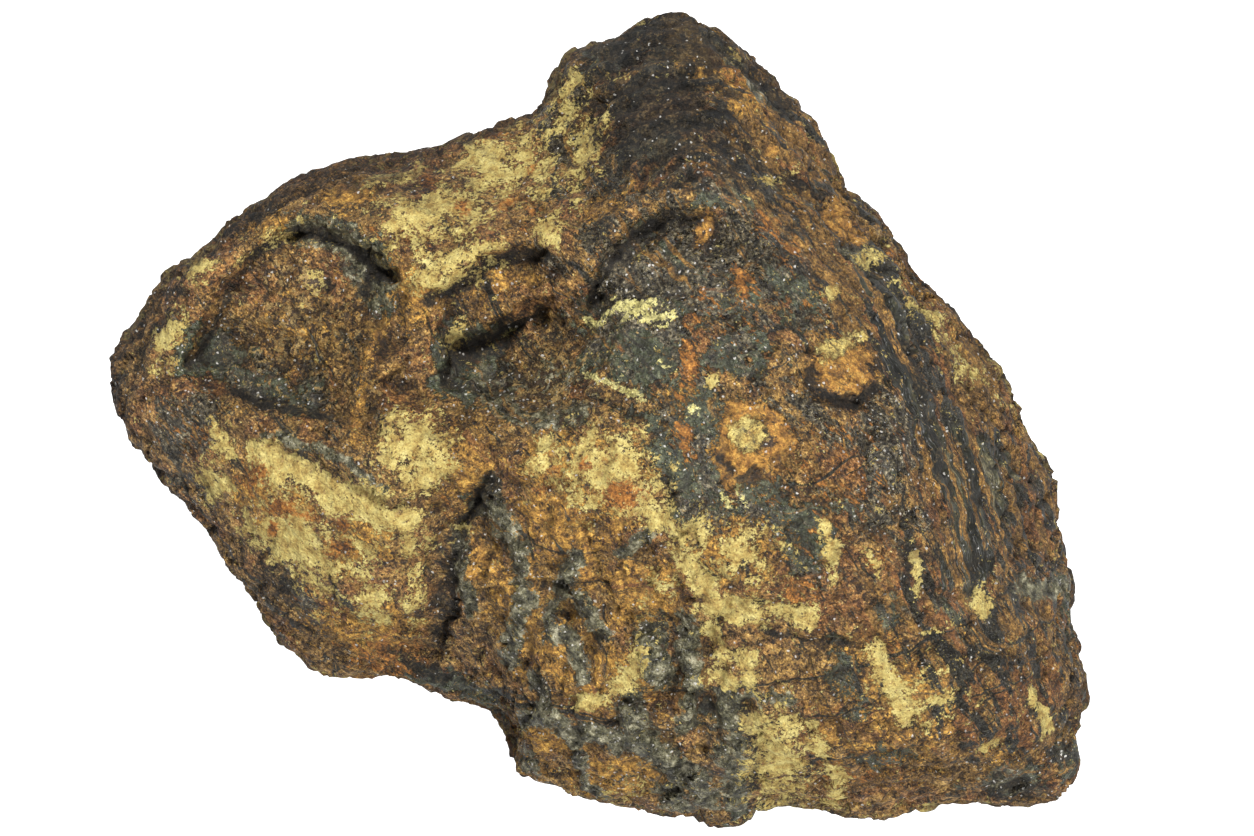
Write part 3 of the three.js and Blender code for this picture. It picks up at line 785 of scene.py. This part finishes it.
keep_on_stone("clay", scattered(8, 0.28, 231.0) + strongest(
    spot(-8, 23, 11, 6, 25) * 0.82, spot(-10, 23.4, 6, 4, 25) * 0.95, spot(-3.4, 28, 3, 7, -12) * 0.8,
    spot(-14.5, 18.5, 9, 5.4, 20) * 0.9, spot(-13, 14, 7, 4, 20) * 0.95, spot(-4.4, 17, 3, 2.4),
    spot(-5.4, 21, 5, 3.6, 40) * 0.75, spot(-1.4, 24, 2.4, 8, -8) * 0.8, spot(-18, 22, 6, 3) * 0.7,
    spot(-2, 30.6, 4, 3) * 0.7, spot(-38.8, 7, 2.2, 4.4, -10), spot(-36, 13.5, 3, 2.6, 30) * 0.85,
    spot(-25.8, 12.7, 1.8, 1.8), spot(-29, 16.6, 5, 1.6, 25) * 0.6, spot(-33.8, -2, 1.8, 4, 10) * 0.9,
    spot(-34.6, -5.4, 2.6, 3.4, 20),
    stroke([(-30.4, -2.8), (-26.4, -4.6), (-22, -7.6), (-17, -9)], 2.2) * 1.3,
    spot(-21, -7.8, 9, 3.4, -22) * 1.15, spot(-29, -5.6, 3, 2.2), spot(-27.4, -11, 7.4, 4.4, -35) * 1.25,
    spot(-29.6, -9.4, 5, 2, -20) * 0.85, spot(-24.6, -14.8, 4, 5) * 0.66,
    spot(-21.2, -13, 3.4, 3.4) * 0.85, spot(-20.2, -16.4, 3, 5) * 0.85, spot(-17, -11, 2.4, 5) * 0.72,
    spot(-23, -10.4, 8, 3, -20) * 0.56, spot(-16.4, -15.6, 1.8, 5) * 0.74,
    spot(-16.2, -2.7, 5.6, 5.4) * 1.15, spot(-13.4, -3.4, 3, 3) * 0.7, spot(-3.4, -5, 5, 4) * 0.66,
    spot(-4.6, -2.8, 4, 2.4) * 0.8, spot(1, -4.4, 7, 6) * 1.1, spot(3.4, -6.6, 4, 4),
    spot(-3.4, -3, 7, 2.4) * 0.85, stroke([(5, -7.4), (7, -10.6), (9.4, -15), (10.4, -16.4)], 2.1),
    stroke([(10, -16.2), (14, -16.8), (18.6, -17.2)], 2.1), spot(12.4, -11.6, 8, 5, -42) * 0.75,
    spot(9, -10.4, 3, 3.4) * 0.8, spot(10, -18.6, 1.6, 2.4), spot(13, -21, 2, 2), spot(12, -23, 4.4, 1.7),
    spot(11, -20.6, 2, 4, 30) * 0.8, spot(16, -30.4, 5, 8.4, 8), spot(16.2, -30, 3.4, 6, 8) * 1.3,
    spot(14.6, -27, 3, 2), stroke([(19, -27.4), (20, -30), (21.8, -32.6), (21.4, -34.4)], 1.3),
    stroke([(24.6, -20.6), (25.6, -23), (28, -26.4)], 1.8) * 1.1, spot(29, -24.6, 7, 5) * 0.62,
    stroke([(19.8, -9), (20.6, -11), (20.6, -13.4)], 1.2), spot(24, -12.4, 1, 2.4, 30) * 0.9,
    stroke([(28.5, -12), (28.4, -15)], 0.7), spot(34.3, -16.6, 1.7, 2.8),
    stroke([(39, -24.6), (40.4, -28)], 1.1), spot(35.5, -29, 2, 1) * 0.9,
    stroke([(26.8, 12.6), (29, 9.6), (31, 7.4), (33, 5), (34.4, 3.6), (37.6, 0.2)], 0.9) * 0.5,
    spot(29.6, 9.4, 2, 3.4, 30), stroke([(31.4, 7), (33.8, 4)], 1.9) * 0.62,
    spot(15.4, 21.6, 3, 1, 20) * 0.9, spot(24, 14.6, 2, 2) * 0.7,
    stroke([(3.2, -21.6), (2.6, -23.6), (0.6, -25), (-1.6, -25.4)], 1.7) * 0.95,
    spot(3.4, -20.6, 2.6, 1.8) * 0.9, spot(5, -15, 3, 4) * 0.62, spot(3, -33.4, 3, 1.6) * 0.6,
    spot(12, 33.4, 2, 1, -60) * 0.8, spot(30, -18.6, 2, 1) * 0.7, spot(-12.8, 7.2, 1.8, 2.6, -30),
    spot(-12.2, -9.6, 1.8, 1), spot(9.8, 3.5, 1.2, 1.2), spot(20.4, 11.2, 2, 1, 20) * 0.9,
))
clay_mask = patch(stored("clay"), 1.7, 2.1, 2.2, 43.0, 0.06)
pricks = contrast(mottle(0.34, 3.0, 0.75, shift=71.0), 0.58, 0.66)
clay_tint = ramp(
    mottle(1.1, 5.0, 0.7, shift=67.0), (0.32, pigment(118, 92, 44)), (0.43, pigment(151, 130, 72)),
    (0.54, pigment(172, 156, 93)), (0.7, pigment(185, 172, 112)),
)
clay_tint = blend_colours(pricks, clay_tint, pigment(88, 66, 38))
clay_grains = times(mottle(0.3, 3.0, 0.6, shift=73.0), 0.35)
clay_relief = plus(plus(0.35, times(breaks, 0.5)), clay_grains)
lay_on(clay_mask, clay_tint, 0.95, clay_relief)


# ---------------------------------------------------------------- rust spots and inclusions
# Red-brown rust has come up through the clay in a few places. Rounded ochre
# inclusions stand out of the dome, each with a pale cap and painted shade round its foot.

keep_on_stone("rust_spots", strongest(
    spot(-5, -6.2, 2, 1.4) * 0.75, spot(-28.6, -8, 3.4, 2.4) * 0.85, spot(-23.4, -11.6, 3, 2) * 0.8,
    spot(-23, -9.6, 2, 1.4) * 0.75, spot(2.3, -6.7, 3.0, 2.8), spot(-1.4, -3.6, 1.6, 1.2) * 0.8,
    spot(-3.6, -4.6, 1.2, 1.4) * 0.8, spot(-12.4, 19, 2, 2.6) * 0.7, spot(-8, 19.4, 2.4, 1.6) * 0.75,
    spot(-30.6, -5, 2.6, 2.6) * 0.75, spot(-26, -8.6, 3, 1.6) * 0.7, spot(1, -3.4, 2, 1) * 0.7,
    spot(-9.6, 26, 4, 1.6, 20) * 0.75, spot(-6.2, 22.6, 1.4, 2) * 0.7, spot(-29.4, -10, 1, 1.4),
    spot(-15.6, 21.6, 2.4, 1.4) * 0.8,
))
lay_on(
    patch(stored("rust_spots"), 0.9, 0.8, 1.3, 59.0, 0.14),
    ramp(grains, (0.4, pigment(72, 42, 17)), (0.52, pigment(136, 86, 34)), (0.66, pigment(178, 124, 56))),
    0.85,
)
# Painted shade: a dark rim round the foot of each raised inclusion.
keep_on_stone("inclusion_foot_shade", strongest(
    spot(21.7, 4.4, 6.4, 6.2), spot(13.6, -2.5, 6.0, 5.8), spot(21.7, 18, 3.6, 5.2, 20),
    spot(9.6, 16.8, 2.2, 3.6, -15),
))
lay_on(
    patch(stored("inclusion_foot_shade"), 1.2, 0.35, 0.4, 63.0, 0.1),
    ramp(grains, (0.42, pigment(22, 17, 12)), (0.6, pigment(70, 50, 30))), 0.6,
)
keep_on_stone("inclusions", strongest(
    spot(21.5, 4.6, 5.4, 5.0),
    stroke(
        [
            (11.4, -1.2), (12.4, 0.6), (15, 0.3), (16.6, -2.2), (15.4, -3.6), (13.4, -3.2), (12, -5),
            (11.2, -3.6), (11.4, -1.2),
        ],
        1.9,
    ),
    spot(21.6, 18.1, 2.6, 4.2, 20), spot(9.5, 17, 1.4, 2.8, -15), spot(23.5, 16.5, 2, 1.6),
    spot(15.6, 24, 1.2, 0.8),
))
ochre = blend_colours(0.3, gold_tint, orange_tint)
lay_on(patch(stored("inclusions"), 1.2, 0.6, 0.9, 65.0, 0.09), ochre, 0.8, grains)
keep_on_stone("inclusion_caps", strongest(
    spot(21.2, 6.5, 3.6, 1.3, 8), spot(20, 5.4, 1, 1.6) * 0.7, spot(13, -1.4, 2.6, 2.8, -20) * 1.15,
    spot(23.6, 7.4, 2, 1) * 0.8,
))
lay_on(patch(stored("inclusion_caps"), 0.9, 0.8, 1.0, 69.0, 0.09), clay_tint, 0.92, clay_relief)


# ---------------------------------------------------------------- coarse grains in the scoops
# The crust on the floors of the two scoops is coarser than elsewhere: single
# dark and pale grains of half a millimetre to one millimetre, side by side.

keep_on_stone("scoop_floor", strongest(spot(-27.6, 9, 11, 12), spot(-5, 3.4, 8, 7) * 1.1))
floor_field = times(stored("scoop_floor"), 0.5)
dark_grains = patch(floor_field, 0.9, 2.6, 1.2, 171.0, 0.08)
lay_on(dark_grains, pigment(60, 45, 28), 0.6)
pale_grains = patch(times(floor_field, 0.8), 0.7, 2.6, 1.2, 173.0, 0.08)
lay_on(pale_grains, pigment(146, 122, 76), 0.8)


# ---------------------------------------------------------------- straw-yellow fibres
# A few bright, pale yellow shreds of sulphate, drawn over the dark dome.

keep_on_stone("straw", strongest(
    stroke([(0.4, 9.4), (2.2, 9.9), (4.2, 9.3), (6.8, 9.1)], 0.5),
    stroke([(1.4, 10.6), (3.2, 10.1), (5, 10.3)], 0.3),
    stroke([(2.4, 9), (4.8, 8.5), (6.2, 8.4)], 0.25), spot(4, 9.6, 3.4, 1.3, 8) * 0.8,
    stroke([(-1.2, 8.8), (0.2, 8.6)], 0.6), stroke([(3, 9.4), (5, 10.2)], 0.5),
    stroke([(-1, 3.9), (1.4, 3), (4, 2)], 0.55), stroke([(5.4, 5), (6.6, 4.5)], 0.35),
    stroke([(11, -6.2), (11.8, -8)], 0.35), stroke([(12.2, -5.8), (13, -7.6)], 0.3),
    spot(8.6, 0.8, 1, 0.8), stroke([(-8.4, 7.6), (-7, 8.4)], 0.4),
))
straw_tint = ramp(grains, (0.35, pigment(170, 160, 92)), (0.65, pigment(222, 214, 150)))
lay_on(patch(stored("straw"), 0.6, 1.3, 1.9, 83.0, 0.1), straw_tint, 0.8)


# ---------------------------------------------------------------- painted shade in the hollows, and painted glints
# Crevices under the crests, the hollows, the creases of the crust and the steep
# sides are darkened with painted shade, and dark oxide lies on the peak and along
# parts of the rim. Sand-fine grains vary the tone of every coating, and pale
# specks painted on single crystal faces all over the crust are painted highlights.


def hollowness(rounds):
    """How far each point sinks below its surroundings, in plan millimetres."""
    edge_ends = np.empty(len(stone_mesh.edges) * 2, np.int32)
    stone_mesh.edges.foreach_get("vertices", edge_ends)
    neighbours = np.bincount(edge_ends, minlength=len(place))[:, None]
    first, second = edge_ends.reshape(-1, 2).T
    around = place.copy()
    for _ in range(rounds):
        total = np.zeros_like(around)
        np.add.at(total, first, around[second])
        np.add.at(total, second, around[first])
        around = total / neighbours
    return np.einsum("ij,ij->i", around - place, facing)


# How far each point sinks below its neighbours, near and wide, for painted shade in the hollows.
keep_on_stone("fine_hollows", smooth_step(-0.02, 0.16, hollowness(6)))
keep_on_stone("wide_hollows", smooth_step(0.0, 0.9, hollowness(70)))
# Painted shade under the crests, in the scoops' lips and along the lobe's crease, with dark oxide on the
# peak and along parts of the rim.
keep_on_stone("crevice", strongest(
    stroke([(-15.4, 10.4), (-12, 12), (-9.6, 13.8), (-7, 14.6), (-4.4, 14.4)], 1.0),
    stroke([(-13.8, 6), (-10, 7.4), (-8, 8.6), (-5.4, 9.6)], 1.2), stroke([(-13.4, 3), (-13.6, 7)], 0.9),
    stroke([(-0.8, 10.4), (1.4, 14.4), (3.8, 16.8), (6.2, 18), (9, 17.6)], 0.9),
    stroke([(-27.4, 17), (-23.6, 16.2), (-20.6, 14.4), (-19, 12.4)], 1.3),
    stroke([(-31.6, 14.4), (-29, 16.2)], 0.8), stroke([(-37, 4.6), (-35.4, 7.8), (-33.4, 11.2)], 0.7),
    stroke([(-20.4, 13), (-21.2, 11.4)], 0.8),
    stroke(
        [(-8.6, -5.8), (-10.6, -7.6), (-12.4, -9.8), (-13.6, -14), (-14, -18), (-15.2, -22.6)],
        2.8,
    ) * 0.64,
    stroke([(-9, -5.8), (-10.8, -7.4), (-12.4, -9)], 1.4),
    stroke([(-12.6, -11), (-13.2, -15), (-13.2, -18)], 0.9) * 0.8,
    stroke([(-33, 2.6), (-28, 1), (-24, 0.2)], 0.9),
    stroke([(13.2, 25), (14.6, 23), (17, 21.6), (20, 20.2)], 0.5),
    stroke([(30.4, -5), (29, 1.4), (27.6, 7)], 0.7), stroke([(14, -18.4), (18, -19.4), (22, -19.9)], 0.4),
    stroke([(12.8, -25), (14, -29), (13.8, -33.4)], 0.7), spot(37.5, -33.2, 2.8, 2.4),
    spot(37, -34.6, 12, 3) * 0.85, spot(43.4, -29, 3, 9) * 0.75, spot(28, -12.4, 6, 3) * 0.6,
    spot(17, -34.8, 6, 1.4), stroke([(18.8, 4.4), (19.2, 3), (20.8, 1.8), (22.8, 1.6), (24.6, 2.8)], 0.8),
    stroke([(10.6, -3), (12.4, -5.4), (14, -4)], 0.6) * 0.8, spot(-12, 6.4, 4.4, 3.6, 20) * 0.95,
    stroke([(-13, 3.6), (-10.6, 2.4)], 1.2) * 0.8, spot(8, 20.4, 5, 1.2) * 0.8,
    spot(12, 21.6, 7, 2.6, -25) * 0.85, stroke([(-19, -21), (-14, -23.4)], 0.8),
    spot(5.6, 25.6, 8, 3, 20) * 0.55, spot(1.6, 30.4, 3, 2) * 0.6, spot(4, 35.8, 20, 7, -10) * 1.3,
    spot(5.4, 28.4, 12, 13) * 1.05, spot(14.4, 33.4, 9, 3.4, -50) * 1.1, spot(9.6, 26, 9, 2.4, -40),
    spot(-6, 34, 4, 8) * 0.8, stroke([(10, 36), (14, 32.4), (17.6, 28.4)], 2) * 0.9,
    stroke([(-44, -2), (-40.6, -7), (-36, -13)], 2.4) * 0.66,
    stroke([(-31, -20.6), (-27, -24.6), (-18, -26)], 2) * 0.7,
    stroke([(-43, 4), (-39, 10), (-34, 16), (-29, 20)], 1.4) * 0.7, spot(0, 17, 3, 4) * 0.6,
    spot(-29, -15, 3.6, 6, 40) * 0.7,
))
# Painted shade: the steep sides are darkened, over a wider band on the upper left and at the peak, and
# less on the golden band below the peak.
upper_left = smooth_step(2, -14, place[:, 0]) * smooth_step(-6, 4, place[:, 1])
reach = 0.36 + 0.4 * upper_left + 0.2 * region(3, 34, 6, 12)
steep = np.clip((reach - broad_facing[:, 2]) / 0.4, 0, 1)
steep *= 1 - 0.8 * region(18.6, 25, 4, 6, -48)
keep_on_stone("sides", steep * smooth_step(-0.6, -0.1, broad_facing[:, 2]))
side_shade = patch(times(stored("sides"), 0.85), 2.0, 1.5, 1.0, 97.0, 0.3)
side_shade_tint = ramp(
    grains, (0.4, pigment(12, 9, 6)), (0.52, pigment(40, 27, 17)), (0.64, pigment(104, 72, 42)),
)
lay_on(times(side_shade, 0.8), side_shade_tint, 0.85)


def larger(first, second):
    return arithmetic(tree, "MAXIMUM", first, second)


wide_hollow_shade = times(stored("wide_hollows"), 0.4)
bare = less(1.0, times(clay_mask, 0.6))
# Near-black painted shade in the crevices and wide hollows, partly dark oxide, kept thin on the clay.
crevice_shade = patch(larger(stored("crevice"), wide_hollow_shade), 1.5, 1.6, 1.0, 91.0, 0.2)
soot_and_shade = ramp(grains, (0.42, pigment(8, 8, 6)), (0.52, pigment(24, 21, 15)), (0.62, pigment(78, 66, 44)))
lay_on(times(times(crevice_shade, bare), 0.92), soot_and_shade, 0.85)
# Painted shade in the small hollows, kept off the clay.
small_hollow_shade = times(stored("fine_hollows"), bare)
lay_on(times(small_hollow_shade, 0.5), pigment(26, 19, 11), 0.6)

# Painted shade in the creases between the crust's lumps, in scattered patches.
in_places = contrast(mottle(2.4, 2.0, shift=103.0), 0.42, 0.56)
crease_shade = times(contrast(creases, 0.075, 0.0), in_places)
lay_on(times(times(crease_shade, bare), 0.8), soot_and_shade, 0.5)

# Grains of a fifth of a millimetre, fewer on clay and on smooth iron.
darker, lighter = (0.45, 0.42, 0.38, 1), (1.6, 1.58, 1.5, 1)
sand = ramp(mottle(0.2, 2.0, 0.8, shift=161.0), (0.3, darker), (0.68, lighter))
sandy = blend_values(larger(slate_mask, iron_mask), 1.0, 0.6)
sandy = blend_values(clay_mask, sandy, 0.45)
surface["colour"] = blend_colours(sandy, surface["colour"], sand, "MULTIPLY")

# Painted highlights: pale specks on single crystal faces, thicker in some places, with a low roughness so
# they also catch the lamps.
glint_tone, glint_middle = crystals(0.34, 0.4)
keep_on_stone("painted_glint_density", strongest(
    spot(26.4, -3.6, 6, 9, 10), spot(8.8, 22.7, 3, 2.4) * 1.6, spot(-11, -23.4, 2.4, 1.6) * 1.4,
    spot(-38, 7, 5, 12, -30) * 0.7, spot(-27, 2.4, 5, 2) * 0.9, spot(-8, 2.4, 9, 3, 15) * 0.8,
    spot(10, -33, 5, 5) * 0.8, spot(4, -28.6, 6, 5) * 0.7, spot(5, 12, 8, 6) * 0.6,
    spot(-8.6, -8, 2, 5, 20) * 0.9, spot(38, -31, 10, 6) * 0.6,
    *(stroke(path, 0.6 + width) for path, width, _ in lobe_ridges), spot(-5, 1, 9, 2.4, 10) * 1.3,
))
glint_boost = times(stored("painted_glint_density"), 0.12)
chosen = contrast(plus(glint_tone, glint_boost), 0.955, 0.965)
centred = contrast(glint_middle, 0.42, 0.22)
not_clay = less(1.0, clay_mask)
glint = times(times(chosen, centred), not_clay)
lay_on(times(glint, 0.8), pigment(196, 192, 184), 0.14)

tree.links.new(surface["colour"], iron.inputs["Base Color"])
tree.links.new(surface["roughness"], iron.inputs["Roughness"])
GRAIN_HEIGHT = 0.6 * mm
sockets = {"Height": surface["relief"], "Distance": GRAIN_HEIGHT, "Strength": 1.0}
skin_relief = put(tree, "ShaderNodeBump", sockets)
tree.links.new(skin_relief.outputs[0], iron.inputs["Normal"])
stone_mesh.materials.clear()
stone_mesh.materials.append(finish)
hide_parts("meteorite")
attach(stone, "root")


# ---------------------------------------------------------------- floor and light
# A plain white table, lit softly from all round. A lamp beyond the peak makes
# the crests shade the hollows below them, and a wider, weaker one at the
# thick end lifts the lower slopes.

FLOOR_REACH = 3.0
FLOOR_GAP = 0.00005  # keeps the table clear of the resting face
floor_place = Matrix.Translation((0, 0, low.z - FLOOR_GAP))
floor_shape = bmesh.new()
bmesh.ops.create_grid(floor_shape, x_segments=1, y_segments=1, size=FLOOR_REACH, matrix=floor_place)
floor_mesh = bpy.data.meshes.new("floor")
floor_shape.to_mesh(floor_mesh)
floor_shape.free()
floor = bpy.data.objects.new("floor", floor_mesh)
bpy.context.scene.collection.objects.link(floor)

paper = bpy.data.materials.new("white_table")
paper.use_nodes = True
sheet = paper.node_tree.nodes["Principled BSDF"]
sheet.inputs["Base Color"].default_value = (0.42, 0.42, 0.42, 1)
sheet.inputs["Roughness"].default_value = 0.9
sheet.inputs["Specular IOR Level"].default_value = 0.1
sheet.inputs["Emission Color"].default_value = (1, 1, 1, 1)
seen = paper.node_tree.nodes.new("ShaderNodeLightPath")
paper.node_tree.links.new(seen.outputs["Is Camera Ray"], sheet.inputs["Emission Strength"])
floor_mesh.materials.append(paper)

sky = bpy.data.worlds.new("soft_room")
sky.use_nodes = True
sky.node_tree.nodes["Background"].inputs["Color"].default_value = (1, 1, 1, 1)
sky.node_tree.nodes["Background"].inputs["Strength"].default_value = 0.215
bpy.context.scene.world = sky


def soft_lamp(name, place, size, power):
    lamp = bpy.data.objects.new(name, bpy.data.lights.new(name, "AREA"))
    bpy.context.scene.collection.objects.link(lamp)
    lamp.data.shape = "DISK"
    lamp.data.size = size
    lamp.data.energy = power
    lamp.location = place
    lamp.rotation_mode = "QUATERNION"
    lamp.rotation_quaternion = (plan_origin - Vector(place)).to_track_quat("-Z", "Y")


soft_lamp("lamp_beyond_peak", (-0.12, 0.42, 0.56), 0.18, 7.25)
soft_lamp("lamp_at_thick_end", (0.26, -0.36, 0.46), 0.3, 5.6)

bpy.context.scene.view_settings.view_transform = "Standard"
